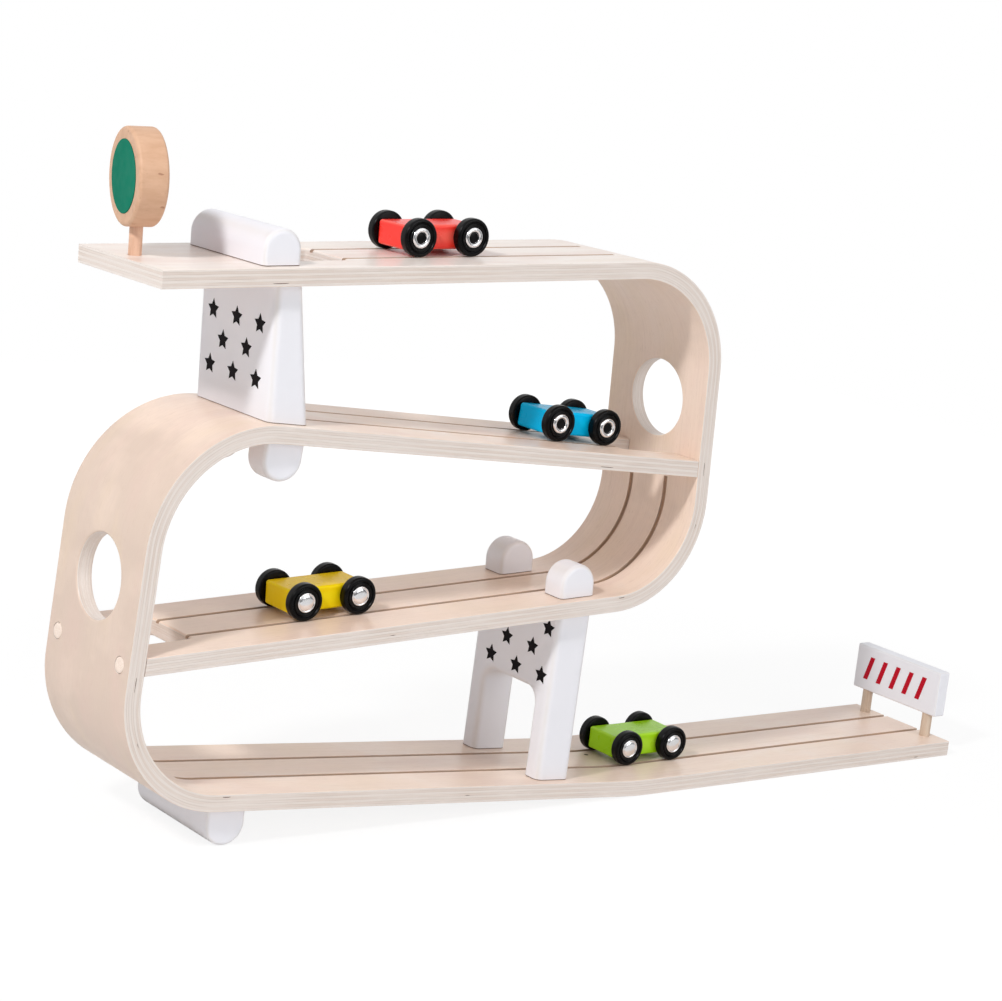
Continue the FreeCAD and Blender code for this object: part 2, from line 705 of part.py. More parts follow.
save("upper_track", [upper_track])
save("lower_track", [lower_track])
save("top_bumper", [top_bumper])
save("upper_post", [upper_post])
save("under_pad_near", [under_pad_near])
save("under_pad_far", [under_pad_far])
save("lower_post", [lower_post])
save("ramp_pad_near", [ramp_pad_near])
save("ramp_pad_far", [ramp_pad_far])
save("foot_bar", [foot_bar])
save("left_wall_plugs", left_plugs)
save("left_wall_screws", left_screws)
save("right_wall_plugs", right_plugs)
save("right_wall_screws", right_screws)
save("sign_disc", [sign_disc])
save("sign_green_inset", [sign_green_inset])
save("sign_red_inset", [sign_red_inset])
save("sign_dowel", [sign_dowel])
save("barrier_board", [barrier_board])
save("barrier_dowels", barrier_dowels)
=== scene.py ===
import json
import math

import bmesh
import bpy
import numpy as np
from mathutils import Matrix, Vector

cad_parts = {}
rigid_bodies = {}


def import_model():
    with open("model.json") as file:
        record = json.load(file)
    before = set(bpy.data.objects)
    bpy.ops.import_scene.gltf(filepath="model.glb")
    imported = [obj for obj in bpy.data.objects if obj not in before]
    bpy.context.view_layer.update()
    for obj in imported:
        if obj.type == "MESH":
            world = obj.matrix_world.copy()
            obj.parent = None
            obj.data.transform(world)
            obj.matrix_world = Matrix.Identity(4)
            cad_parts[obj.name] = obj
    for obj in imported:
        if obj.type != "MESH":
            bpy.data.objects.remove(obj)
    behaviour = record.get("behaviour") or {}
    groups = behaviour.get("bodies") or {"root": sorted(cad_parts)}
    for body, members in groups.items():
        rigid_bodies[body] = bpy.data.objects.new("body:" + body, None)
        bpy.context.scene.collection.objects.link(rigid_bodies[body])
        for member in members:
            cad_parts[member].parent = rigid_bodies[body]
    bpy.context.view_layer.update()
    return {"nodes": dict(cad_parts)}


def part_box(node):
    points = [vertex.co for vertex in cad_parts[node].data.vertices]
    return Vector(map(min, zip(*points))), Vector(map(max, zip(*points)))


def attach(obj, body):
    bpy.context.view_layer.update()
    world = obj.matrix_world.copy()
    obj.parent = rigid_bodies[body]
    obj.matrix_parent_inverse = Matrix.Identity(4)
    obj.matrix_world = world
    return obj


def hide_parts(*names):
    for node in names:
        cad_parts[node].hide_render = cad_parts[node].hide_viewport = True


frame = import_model()


# Bent plywood tracks.
# Two bands of seven-ply board, pressed to shape: the upper one is the top deck, right wall and
# ramp 3, the lower one ramp 2, the left wall and the deck that runs out on the floor. Openings,
# windows and wheel grooves are routed, then every edge is eased by sanding.
MM = 0.001
PLY = 10 * MM
PLIES = 7
TRACK_HALF = 45 * MM
EDGE_EASE = 0.45 * MM
BEND_STEP = math.radians(2.5)

# Wheel grooves; the section is millimetres across and the share of the depth
GROOVE_MIDDLE = 16.05 * MM
GROOVE_DEPTH = 1.8 * MM
GROOVE_HALF = 1.75 * MM
GROOVE_END = 0.4 * MM
GROOVE_SECTION = ((-1.7, 0.0), (-1.5, 0.12), (-1.4, 1.0), (1.4, 1.0), (1.5, 0.12), (1.7, 0.0))

# Openings; a cutter overshoots the board and flares there as steeply as the rim that it rounds
RIM_EASE = 1.4 * MM
OVERSHOOT = 1 * MM
RIM_FLARE = 3.73 * MM
DROP_HALF = 21 * MM
DROP_CORNER = 2 * MM
WINDOW_RADIUS = 23.65 * MM

# Holes in millimetres: stepped ones as depth and radius, dowel sockets as radius and depth
PLUG_RADIUS = 4.5 * MM
FIXING_STEPS = ((-1.0, 4.8), (2.9, 4.8), (2.9, 3.8), (4.95, 3.8), (4.95, 1.85), (27.0, 1.85))
SIGN_SOCKET = (3.65, 7.0)
BARRIER_SOCKET = (3.53, 6.0)

# Side of the board, then the corners of its outer face in millimetres with the radius of each bend
track_routes = {
    "upper_track": (-1, [(-321.339, 320.3, 0), (68.261, 333.973, 68.1), (75.257, 123.1, 65.1),
                         (-311.02, 103.6, 0)]),
    "lower_track": (1, [(62.323, 211.369, 0), (-312.206, 244.4, 71.7), (-325.794, 27.814, 67.7),
                        (45.861, 0.0, 280), (323.861, 0.0, 0)]),
}


def srgb(red, green, blue):
    """Screen colour of 0 to 255 as the linear colour that a shader takes."""
    def linear(value):
        value /= 255
        return value / 12.92 if value <= 0.04045 else ((value + 0.055) / 1.055) ** 2.4
    return (linear(red), linear(green), linear(blue), 1.0)


def add_node(tree, kind, settings=None, **inputs):
    """Node with its settings; each input is a value or the output that feeds it."""
    made = tree.nodes.new("ShaderNode" + kind)
    for key, value in (settings or {}).items():
        setattr(made, key, value)
    for key, value in inputs.items():
        socket = made.inputs[int(key[2:]) if key.startswith("at") else key.replace("_", " ")]
        if isinstance(value, bpy.types.NodeSocket):
            tree.links.new(value, socket)
        else:
            socket.default_value = value
    return made


def sums(tree, operation, first, second=0.0, third=0.0):
    made = add_node(tree, "Math", {"operation": operation}, at0=first, at1=second, at2=third)
    return made.outputs[0]


def tint(tree, amount, first, second):
    """First colour turning to the second as amount goes from 0 to 1."""
    made = add_node(tree, "Mix", {"data_type": "RGBA"}, at0=amount, at6=first, at7=second)
    return made.outputs[2]


def stepped(tree, value, low, high, start=0.0, end=1.0):
    """Value between low and high, eased and spread over start to end."""
    made = add_node(tree, "MapRange", {"interpolation_type": "SMOOTHSTEP"}, Value=value,
                    From_Min=low, From_Max=high, To_Min=start, To_Max=end)
    return made.outputs[0]


def stretched(tree, vector, scale):
    made = add_node(tree, "Mapping", Vector=vector, Scale=scale)
    return made.outputs[0]


def noise(tree, vector, scale, detail=2.0, roughness=0.5):
    made = add_node(tree, "TexNoise", Vector=vector, Scale=scale, Detail=detail, Roughness=roughness)
    return made.outputs[0]


def read(tree, name, output="Fac"):
    made = add_node(tree, "Attribute", {"attribute_name": name})
    return made.outputs[output]


def new_group(name, sockets_in, sockets_out):
    """Empty node group: inputs as name and default value, outputs as names of values."""
    group = bpy.data.node_groups.new(name, "ShaderNodeTree")
    for label, value in sockets_in.items():
        kind = "NodeSocketVector" if value is None else "NodeSocketFloat"
        socket = group.interface.new_socket(name=label, in_out="INPUT", socket_type=kind)
        if value is not None:
            socket.default_value = value
    for label in sockets_out:
        group.interface.new_socket(name=label, in_out="OUTPUT", socket_type="NodeSocketFloat")
    start = group.nodes.new("NodeGroupInput")
    end = group.nodes.new("NodeGroupOutput")
    return group, start.outputs, lambda label, value: group.links.new(value, end.inputs[label])


def place_group(tree, group, **inputs):
    made = add_node(tree, "Group", {"node_tree": group}, **inputs)
    return made.outputs


def new_material(name, **sockets):
    """Material with one shader, whose constant values stand on its own sockets."""
    material = bpy.data.materials.new(name)
    material.use_nodes = True
    shader = material.node_tree.nodes["Principled BSDF"]
    for key, value in sockets.items():
        shader.inputs[key.replace("_", " ")].default_value = value
    return material, material.node_tree, shader


def raise_surface(tree, shader, height, distance, strength=1.0):
    """Fine relief of a finish, as high as the distance."""
    bump = add_node(tree, "Bump", Height=height, Distance=distance, Strength=strength)
    tree.links.new(bump.outputs[0], shader.inputs["Normal"])


# Grain of wood that runs along X of the vector it is given, in metres
grain_group, grain_in, grain_out = new_group(
    "wood_grain", {"Place": None, "Line Width": 0.0015, "Line Length": 0.08},
    ["Streak", "Fibre", "Cloud"])
across = sums(grain_group, "DIVIDE", 1.0, grain_in["Line Width"])
along = sums(grain_group, "DIVIDE", 1.0, grain_in["Line Length"])
grain_scale = add_node(grain_group, "CombineXYZ", X=along, Y=across, Z=across).outputs[0]
grain_place = add_node(grain_group, "VectorMath", {"operation": "MULTIPLY"},
                       at0=grain_in["Place"], at1=grain_scale).outputs[0]
grain_out("Streak", noise(grain_group, grain_place, 1.0, 4.0, 0.6))
grain_out("Fibre", noise(grain_group, grain_place, 4.5, 3.0, 0.6))
grain_out("Cloud", noise(grain_group, grain_in["Place"], 26.0, 3.0, 0.55))

VENEER_PALE = srgb(249, 239, 232)
VENEER_WARM = srgb(245, 222, 205)
VENEER_DEEP = srgb(220, 198, 182)
VENEER_FLUSH = srgb(226, 196, 184)
VENEER_HONEY = srgb(234, 211, 180)
VENEER_LINE = srgb(206, 178, 158)
EDGE_LONG = srgb(235, 225, 218)
EDGE_CROSS = srgb(221, 208, 199)
EDGE_GLUE = srgb(174, 154, 140)
# Painted shade inside the small voids of a ply edge
EDGE_VOID_SHADE = srgb(98, 70, 54)
MILLED = srgb(204, 168, 138)
KNOT_BROWN = srgb(70, 44, 24)
KNOT_PLACE = (47.15 * MM, 7.9 * MM, 9.9 * MM)
KNOT_CORE = 1.1 * MM
KNOT_RIM = 1.9 * MM
GRAIN_WIDTH = 2.1 * MM
GRAIN_LENGTH = 110 * MM

# How finely each pattern is spread along, across and through the board, per metre
MOTTLE_SPREAD = (11.0, 34.0, 34.0)
FLECK_SPREAD = (150.0, 1700.0, 1700.0)
WANDER_SPREAD = (9.0, 9.0, 60.0)
FIBRE_SPREAD = (60.0, 900.0, 2600.0)
SHADE_SPREAD = (16.0, 16.0, 90.0)
SEAM_SPREAD = (38.0, 38.0, 320.0)
VOID_SPREAD = (55.0, 55.0, 700.0)
SPECKLE_SCALE = 2600.0

plywood, tree, shader = new_material("plywood", Roughness=0.34, Specular_IOR_Level=0.5)
place = read(tree, "ply_place", "Vector")
sides = add_node(tree, "SeparateXYZ", Vector=place).outputs
grain = place_group(tree, grain_group, Place=place, Line_Width=GRAIN_WIDTH, Line_Length=GRAIN_LENGTH)

# Face veneer: its tone with the painted sheen of the decks, blushes and honey patches, then grain lines
# and flecks
veneer = read(tree, "veneer")
tone = sums(tree, "ADD", veneer, stepped(tree, grain["Cloud"], 0.3, 0.7, -0.14, 0.14))
face = tint(tree, stepped(tree, tone, 0.0, 0.5), VENEER_PALE, VENEER_WARM)
face = tint(tree, stepped(tree, tone, 0.5, 1.0), face, VENEER_DEEP)
mottle = noise(tree, stretched(tree, place, MOTTLE_SPREAD), 1.0, 3.0)
face = tint(tree, stepped(tree, mottle, 0.48, 0.72, 0.0, 0.42), face, VENEER_FLUSH)
face = tint(tree, stepped(tree, mottle, 0.28, 0.5, 0.3, 0.0), face, VENEER_HONEY)
line_amount = sums(tree, "MULTIPLY_ADD", veneer, -0.3, 0.36)
streak = sums(tree, "MULTIPLY", stepped(tree, grain["Streak"], 0.48, 0.8), line_amount)
face = tint(tree, streak, face, VENEER_LINE)
face = tint(tree, stepped(tree, grain["Fibre"], 0.45, 0.8, 0.0, 0.18), face, VENEER_LINE)
fleck = noise(tree, stretched(tree, place, FLECK_SPREAD), 1.0, 1.0)
face = tint(tree, stepped(tree, fleck, 0.62, 0.74, 0.0, 0.35), face, VENEER_LINE)

# Edge: long and cross plies that wander a little, glue seams between them, a few small voids filled with
# painted shade
wander = noise(tree, stretched(tree, place, WANDER_SPREAD), 1.0, 3.0)
layer = sums(tree, "MULTIPLY_ADD", sides["Z"], PLIES / PLY,
             sums(tree, "MULTIPLY_ADD", wander, 0.5, -0.25))
layer_part = sums(tree, "FRACT", layer)
cross_ply = sums(tree, "GREATER_THAN", sums(tree, "MODULO", sums(tree, "FLOOR", layer), 2.0), 0.5)
seam = stepped(tree, sums(tree, "ABSOLUTE", sums(tree, "SUBTRACT", layer_part, 0.5)), 0.36, 0.5)
speckle = noise(tree, place, SPECKLE_SCALE, 2.0, 0.6)
fibre = noise(tree, stretched(tree, place, FIBRE_SPREAD), 1.0, 3.0)
cross_colour = tint(tree, stepped(tree, speckle, 0.35, 0.7), EDGE_CROSS, VENEER_DEEP)
long_colour = tint(tree, stepped(tree, fibre, 0.4, 0.75, 0.0, 0.6), EDGE_LONG, EDGE_CROSS)
shaded = noise(tree, stretched(tree, place, SHADE_SPREAD), 1.0, 2.0)
cross_amount = sums(tree, "MULTIPLY", cross_ply, stepped(tree, shaded, 0.3, 0.7, 0.15, 0.75))
edge = tint(tree, cross_amount, long_colour, cross_colour)
seam_noise = noise(tree, stretched(tree, place, SEAM_SPREAD), 1.0, 2.0)
seam_amount = sums(tree, "MULTIPLY", stepped(tree, seam_noise, 0.38, 0.68), 0.5)
edge = tint(tree, sums(tree, "MULTIPLY", seam, seam_amount), edge, EDGE_GLUE)
void = noise(tree, stretched(tree, place, VOID_SPREAD), 1.0, 1.0)
open_void = sums(tree, "MULTIPLY", stepped(tree, void, 0.76, 0.78), cross_ply)
on_side = sums(tree, "GREATER_THAN", sums(tree, "ABSOLUTE", sides["Y"]), TRACK_HALF - EDGE_EASE)
void_shade = sums(tree, "MULTIPLY", open_void, on_side)
edge = tint(tree, void_shade, edge, EDGE_VOID_SHADE)

# One pin knot in the bottom deck; grooves show the milled ply below
knot_arm = add_node(tree, "VectorMath", {"operation": "DISTANCE"},
                    at0=add_node(tree, "TexCoord").outputs["Object"], at1=KNOT_PLACE).outputs["Value"]
face = tint(tree, stepped(tree, knot_arm, KNOT_CORE, KNOT_RIM, 1.0, 0.0), face, KNOT_BROWN)
cut_face = read(tree, "cut_face")
colour = tint(tree, cut_face, face, edge)
milled_tone = tint(tree, stepped(tree, grain["Fibre"], 0.3, 0.7), MILLED, EDGE_GLUE)
colour = tint(tree, sums(tree, "MULTIPLY", read(tree, "milled"), 0.9), colour, milled_tone)
tree.links.new(colour, shader.inputs["Base Color"])
edge_relief = sums(tree, "SUBTRACT", sums(tree, "MULTIPLY", speckle, 0.5), sums(tree, "ADD", seam, void_shade))
relief = sums(tree, "MULTIPLY_ADD", grain["Fibre"], 0.4, sums(tree, "MULTIPLY", cut_face, edge_relief))
raise_surface(tree, shader, relief, 0.08 * MM, 0.8)


def lay_out(corners):
    """Runs and bends of a track's outer face, in order from its first end."""
    points = [Vector(corner[:2]) * MM for corner in corners]
    stretches = []
    start = points[0]
    done = 0.0

    def add(start, way, length, radius):
        stretches.append({"done": done, "start": start, "way": way, "length": length, "radius": radius})
        return done + length

    for before, at, after, corner in zip(points, points[1:], points[2:], corners[1:]):
        radius = corner[2] * MM
        way = (at - before).normalized()
        onward = (after - at).normalized()
        turn = way.angle(onward)
        bend_start = at - way * radius * math.tan(turn / 2)
        done = add(start, way, (bend_start - start).length, 0.0)
        done = add(bend_start, way, radius * turn, radius)
        start = at + onward * radius * math.tan(turn / 2)
    add(start, (points[-1] - start).normalized(), (points[-1] - start).length, 0.0)
    return stretches


def spot_at(side, stretches, distance):
    """Point of the outer face so far along a track, the way on and the way into the board."""
    stretch = [s for s in stretches if s["done"] <= distance + 1e-9][-1]
    way = stretch["way"]
    into = Vector((-way.y, way.x)) * side
    run = distance - stretch["done"]
    if not stretch["radius"]:
        return stretch["start"] + way * run, way, into
    angle = run / stretch["radius"]
    centre = stretch["start"] + into * stretch["radius"]
    turned_into = into * math.cos(angle) - way * math.sin(angle)
    turned_way = way * math.cos(angle) + into * math.sin(angle)
    return centre - turned_into * stretch["radius"], turned_way, turned_into


def on_track(side, stretches, x, z):
    """Distance along the track, depth below its outer face and the way into the board there."""
    best = None
    spot = Vector((x, z))
    for stretch in stretches:
        way, radius = stretch["way"], stretch["radius"]
        into = Vector((-way.y, way.x)) * side
        if radius:
            arm = spot - stretch["start"] - into * radius
            angle = math.atan2(arm.dot(way), -arm.dot(into))
            run, depth = angle * radius, radius - arm.length
            into = -arm.normalized()
        else:
            run = (spot - stretch["start"]).dot(way)
            depth = (spot - stretch["start"]).dot(into)
        miss = max(0.0, -run, run - stretch["length"]) + max(0.0, -depth, depth - PLY)
        if best is None or miss < best[0] - 1e-7:
            best = (miss, stretch["done"] + run, depth, into)
    return best[1:]


def track_section(outer_cut, inner_cut):
    """Points across and down round the board, with eased corners and the grooves that run here."""
    points = []
    reach, ease = TRACK_HALF - EDGE_EASE, EDGE_EASE
    for across, down, start, cut in ((-reach, ease, 180, outer_cut), (reach, ease, 270, 0),
                                     (reach, PLY - ease, 0, inner_cut), (-reach, PLY - ease, 90, 0)):
        for step in range(4):
            angle = math.radians(start + 30 * step)
            points.append((across + ease * math.cos(angle), down + ease * math.sin(angle)))
        if start in (180, 0):
            way, face = (1, 0.0) if start == 180 else (-1, PLY)
            for middle in (-GROOVE_MIDDLE, GROOVE_MIDDLE):
                for offset, share in GROOVE_SECTION:
                    points.append((way * (middle + offset * MM), face + way * share * cut))
    return points


def board(name, side, stretches, grooves, ends):
    """Sweeps the board's section along its track; each end is square or lies on a wall's face."""
    last = stretches[-1]["done"] + stretches[-1]["length"]
    marks = {0.0, last}
    for stretch in stretches:
        steps = math.ceil(stretch["length"] / stretch["radius"] / BEND_STEP) if stretch["radius"] else 1
        marks.update(stretch["done"] + stretch["length"] * step / steps for step in range(steps))
    for face, start, stop in grooves:
        marks.update(m for m in (start - GROOVE_END, start, stop, stop + GROOVE_END) if 0 < m < last)
    bm = bmesh.new()
    rings = []
    for mark in sorted(marks):
        spot, way, into = spot_at(side, stretches, mark)
        cuts = {"outer": 0.0, "inner": 0.0}
        for face, start, stop in grooves:
            if start - 1e-6 <= mark <= stop + 1e-6:
                cuts[face] = GROOVE_DEPTH
        end = ends[0] if mark == 0.0 else ends[1] if mark == last else None
        ring = []
        for across, down in track_section(cuts["outer"], cuts["inner"]):
            point = spot + into * down
            if end:
                wall_spot, wall_into = end
                point += way * ((wall_spot - point).dot(wall_into) / way.dot(wall_into))
            ring.append(bm.verts.new((point.x, across, point.y)))
        rings.append(ring)
    for first, second in zip(rings, rings[1:]):
        for i in range(len(first)):
            j = (i + 1) % len(first)
            bm.faces.new((first[i], first[j], second[j], second[i]))
    bm.faces.new(rings[0])
    bm.faces.new(rings[-1])
    return new_piece(bm, name)


def new_piece(bm, name):
    """Object from a finished bmesh, with its faces turned outwards."""
    bmesh.ops.recalc_face_normals(bm, faces=bm.faces)
    mesh = bpy.data.meshes.new(name)
    bm.to_mesh(mesh)
    bm.free()
    piece = bpy.data.objects.new(name, mesh)
    bpy.context.scene.collection.objects.link(piece)
    return piece


def lofted(bm, rings, closed=False):
    """Skins rings of points; the ends are capped, or the last ring joins the first."""
    made = [[bm.verts.new(point) for point in ring] for ring in rings]
    following = made[1:] + made[:1] if closed else made[1:]
    for first, second in zip(made, following):
        for i in range(len(first)):
            j = (i + 1) % len(first)
            bm.faces.new((first[i], first[j], second[j], second[i]))
    if not closed:
        bm.faces.new(made[0])
        bm.faces.new(made[-1])


def turned(bm, profile, centre, axis, steps=64, closed=False):
    """Body turned round an axis from a profile of distance along it and radius."""
    axis = Vector(axis).normalized()
    first = axis.orthogonal().normalized()
    second = axis.cross(first)
    rings = []
    for reach, radius in profile:
        angles = [2 * math.pi * step / steps for step in range(steps)]
        rings.append([centre + axis * reach + (first * math.cos(a) + second * math.sin(a)) * radius
                      for a in angles])
    lofted(bm, rings, closed)


def rim_profile(through):
    """Depth and growth of a routed hole whose two rims are rounded over."""
    half = [(-OVERSHOOT, RIM_EASE + RIM_FLARE)]
    for angle in (math.radians(60), math.radians(30), 0.0):
        half.append((RIM_EASE - RIM_EASE * math.sin(angle), RIM_EASE - RIM_EASE * math.cos(angle)))
    return half + [(through - depth, grow) for depth, grow in reversed(half)]


def drop_cutter(side, run, x_low, x_high):
    """Cutter for the upright opening between two places along a deck."""
    into = Vector((-run["way"].y, run["way"].x)) * side
    slope = run["way"].y / run["way"].x
    rings = []
    for depth, grow in rim_profile(PLY):
        corner = DROP_CORNER + grow
        ring = []
        for x, y, start in ((x_high - DROP_CORNER, DROP_HALF - DROP_CORNER, 0),
                            (x_low + DROP_CORNER, DROP_HALF - DROP_CORNER, 90),
                            (x_low + DROP_CORNER, DROP_CORNER - DROP_HALF, 180),
                            (x_high - DROP_CORNER, DROP_CORNER - DROP_HALF, 270)):
            for step in range(7):
                angle = math.radians(start + 15 * step)
                px = x + corner * math.cos(angle)
                pz = run["start"].y + (px - run["start"].x) * slope + depth / into.y
                ring.append(Vector((px, y + corner * math.sin(angle), pz)))
        rings.append(ring)
    bm = bmesh.new()
    lofted(bm, rings)
    return new_piece(bm, "drop_cutter")


def turned_cutter(profile, spot, y, into, steps=64):
    bm = bmesh.new()
    turned(bm, profile, Vector((spot.x, y, spot.y)), (into.x, 0, into.y), steps)
    return new_piece(bm, "turned_cutter")


def cut_away(piece, cutters):
    """Takes the cutters' bodies out of a piece."""
    for cutter in cutters:
        cut = piece.modifiers.new("cut", "BOOLEAN")
        cut.operation = "DIFFERENCE"
        cut.solver = "EXACT"
        cut.object = cutter
    graph = bpy.context.evaluated_depsgraph_get()
    whole = piece.data
    piece.data = bpy.data.meshes.new_from_object(piece.evaluated_get(graph))
    piece.modifiers.clear()
    bpy.data.meshes.remove(whole)


def smooth_shade(piece, sharper_than=40):
    """Smooth shading with crisp edges and truly flat flats."""
    for face in piece.data.polygons:
        face.use_smooth = True
    piece.data.set_sharp_from_angle(angle=math.radians(sharper_than))
    piece.modifiers.new("flat_faces", "WEIGHTED_NORMAL").keep_sharp = True


def fit_out(piece, material, slot, body, *nodes):
    """Gives a piece its finish and its body, and hides the solids that it stands for."""
    piece.data.materials.clear()
    piece.data.materials.append(material)
    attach(piece, body)
    if nodes:
        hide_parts(*nodes)


def store(mesh, name, kind, domain, values):
    """Keeps values with a mesh's points or faces, for its material to read."""
    field = "vector" if kind == "FLOAT_VECTOR" else "value"
    attribute = mesh.attributes.new(name, kind, domain)
    attribute.data.foreach_set(field, np.asarray(values, np.float32).ravel())


layouts = {track: (side, lay_out(corners)) for track, (side, corners) in track_routes.items()}
top_deck, _, right_wall, _, ramp_3 = layouts["upper_track"][1]
ramp_2, _, left_wall = layouts["lower_track"][1][:3]

# Ends of ramps 2 and 3 lie against the walls, and leave the hairline that the glue fills
JOINT_GAP = 0.3 * MM


def inner_face(side, run):
    """Point and inward direction of the inner face of a straight wall."""
    into = Vector((-run["way"].y, run["way"].x)) * side
    return run["start"] + into * (PLY + JOINT_GAP), into


track_ends = {
    "upper_track": (None, inner_face(1, left_wall)),
    "lower_track": (inner_face(-1, right_wall), None),
}

# Where the grooves start and stop on each face; the last one runs out over the end of the board
GROOVE_ENDS = {
    "upper_track": (("outer", (-232.84, 323.4), (-0.74, 331.6)),
                    ("inner", (62.87, 195.37), (-270.39, 115.67))),
    "lower_track": (("outer", (22.32, 214.9), (-218.84, 236.2)),
                    ("inner", (-268.74, 33.58), None)),
}
BEYOND_END = 2.0

# Middle of the window in each wall, and from where to where along X each deck's opening reaches
WINDOW_PLACES = {"upper_track": (61.29, 242.37), "lower_track": (-318.27, 147.79)}
drops = {
    "upper_track": ((top_deck, -232.84, -191.84), (ramp_3, -330.0, -269.39)),
    "lower_track": ((ramp_2, 21.32, 80.0),),
}


def distance_to(track, place):
    """Distance along a track to a place given in millimetres, or past its end."""
    if place is None:
        return BEYOND_END
    side, stretches = layouts[track]
    return on_track(side, stretches, place[0] * MM, place[1] * MM)[0]


track_grooves = {
    track: [(face, distance_to(track, start), distance_to(track, stop)) for face, start, stop in grooves]
    for track, grooves in GROOVE_ENDS.items()
}


def in_groove(track, run, y, depth):
    """Whether a place of the board is a wall or the floor of a wheel groove."""
    if abs(abs(y) - GROOVE_MIDDLE) > GROOVE_HALF:
        return False
    for face, start, stop in track_grooves[track]:
        below = depth if face == "outer" else PLY - depth
        inside = 0.05 * MM < below < GROOVE_DEPTH + 0.1 * MM
        if inside and start - GROOVE_END <= run <= stop + GROOVE_END:
            return True
    return False


def in_metres(profile):
    return [(reach * MM, radius * MM) for reach, radius in profile]


WALL_FIXINGS = (("left_wall", "lower_track"), ("right_wall", "upper_track"))


def fixing_places(wall, track):
    """Centre of each plug on the wall's outer face, its y, and the way into the board."""
    side, stretches = layouts[track]
    low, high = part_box(wall + "_plugs")
    middle = (low + high) / 2
    distance = on_track(side, stretches, middle.x, middle.z)[0]
    spot, _, into = spot_at(side, stretches, distance)
    return [(spot, y, into) for y in (low.y + PLUG_RADIUS, high.y - PLUG_RADIUS)]


fixing_cutters = []
for wall, track in WALL_FIXINGS:
    for spot, y, into in fixing_places(wall, track):
        fixing_cutters.append(turned_cutter(in_metres(FIXING_STEPS), spot, y, into, 48))


def socket_cutter(node, track, radius, depth, y):
    """Cutter for the hole in which a dowel stands."""
    side, stretches = layouts[track]
    low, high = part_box(node)
    distance, _, into = on_track(side, stretches, (low.x + high.x) / 2, low.z + depth * MM)
    spot = spot_at(side, stretches, distance)[0]
    if into.y > 0:
        spot, into = spot + into * PLY, -into
    return turned_cutter([(-OVERSHOOT, radius * MM), (depth * MM, radius * MM)], spot, y, into)


low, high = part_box("sign_dowel")
sign_socket = socket_cutter("sign_dowel", "upper_track", *SIGN_SOCKET, (low.y + high.y) / 2)
low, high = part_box("barrier_dowels")
dowel_radius = (high.x - low.x) / 2
barrier_sockets = [socket_cutter("barrier_dowels", "lower_track", *BARRIER_SOCKET, y)
                   for y in (low.y + dowel_radius, high.y - dowel_radius)]
extra_cutters = {"upper_track": [sign_socket], "lower_track": barrier_sockets}

# Tone of each veneer, from pale to deep, on its decks and on its walls: outer face, then inner. The paler
# decks are a painted sheen, the glancing reflection of the bright backdrop
VENEER_TONES_AND_DECK_SHEEN = {"upper_track": ((0.02, 0.5), (0.5, 0.55)), "lower_track": ((0.35, 0.95), (0.45, 0.6))}
DECK_LEVEL = 0.75
CUT_FACING = 0.6

for track, (side, stretches) in layouts.items():
    piece = board(track + "_board", side, stretches, track_grooves[track], track_ends[track])
    spot, _, into = spot_at(side, stretches, distance_to(track, WINDOW_PLACES[track]))
    rims = [(depth, WINDOW_RADIUS + grow) for depth, grow in rim_profile(PLY)]
    cutters = [turned_cutter(rims, spot, 0.0, into, 96)]
    cutters += [drop_cutter(side, run, x_low * MM, x_high * MM) for run, x_low, x_high in drops[track]]
    cut_away(piece, cutters + fixing_cutters + extra_cutters[track])
    mesh = piece.data
    places = [on_track(side, stretches, vertex.co.x, vertex.co.z) for vertex in mesh.vertices]
    store(mesh, "ply_place", "FLOAT_VECTOR", "POINT",
          [(run, vertex.co.y, depth) for vertex, (run, depth, into) in zip(mesh.vertices, places)])
    veneers = []
    for run, depth, into in places:
        (outer_deck, outer_wall), (inner_deck, inner_wall) = VENEER_TONES_AND_DECK_SHEEN[track]
        # Faces that lie level take the paler deck tone: painted sheen
        level = max(0.0, abs(into.y) - DECK_LEVEL) / (1.0 - DECK_LEVEL)
        outer = outer_wall + (outer_deck - outer_wall) * level
        inner = inner_wall + (inner_deck - inner_wall) * level
        veneers.append(outer + (inner - outer) * depth / PLY)
    store(mesh, "veneer", "FLOAT", "POINT", veneers)
    cut, milled = [], []
    for face in mesh.polygons:
        run, depth, into = on_track(side, stretches, face.center.x, face.center.z)
        grooved = in_groove(track, run, face.center.y, depth)
        facing = abs(face.normal.x * into.x + face.normal.z * into.y)
        milled.append(1.0 if grooved else 0.0)
        cut.append(1.0 if facing < CUT_FACING and not grooved else 0.0)
    store(mesh, "cut_face", "FLOAT", "FACE", cut)
    store(mesh, "milled", "FLOAT", "FACE", milled)
    smooth_shade(piece)
    fit_out(piece, plywood, "plywood", "stand", track)
for spent in [piece for piece in bpy.data.objects if "_cutter" in piece.name]:
    bpy.data.objects.remove(spent)


# Wall plugs and screws.
# Countersunk steel screws pull the ends of ramps 2 and 3 to the walls. A sanded wooden plug with
# its end grain outward closes each hole.
PLUG_LIGHT = srgb(250, 234, 222)
PLUG_DARK = srgb(234, 211, 194)
ZINC_DULL = srgb(165, 165, 168)
ZINC_BRIGHT = srgb(205, 205, 208)

# Plug from its sanded face to the bottom of its hole: depth below the wall's face, radius, both mm
PLUG_PROFILE = ((-0.3, 2.6), (-0.24, 3.6), (-0.1, 4.15), (0.2, 4.42), (0.7, 4.48), (2.85, 4.48))

plug_wood, tree, shader = new_material("plug_end_grain", Roughness=0.55, Specular_IOR_Level=0.3)
object_place = add_node(tree, "TexCoord").outputs["Object"]
grain = place_group(tree, grain_group, Place=object_place, Line_Width=0.5 * MM, Line_Length=0.9 * MM)
colour = tint(tree, stepped(tree, grain["Streak"], 0.35, 0.7), PLUG_LIGHT, PLUG_DARK)
tree.links.new(colour, shader.inputs["Base Color"])
raise_surface(tree, shader, grain["Streak"], 0.08 * MM)

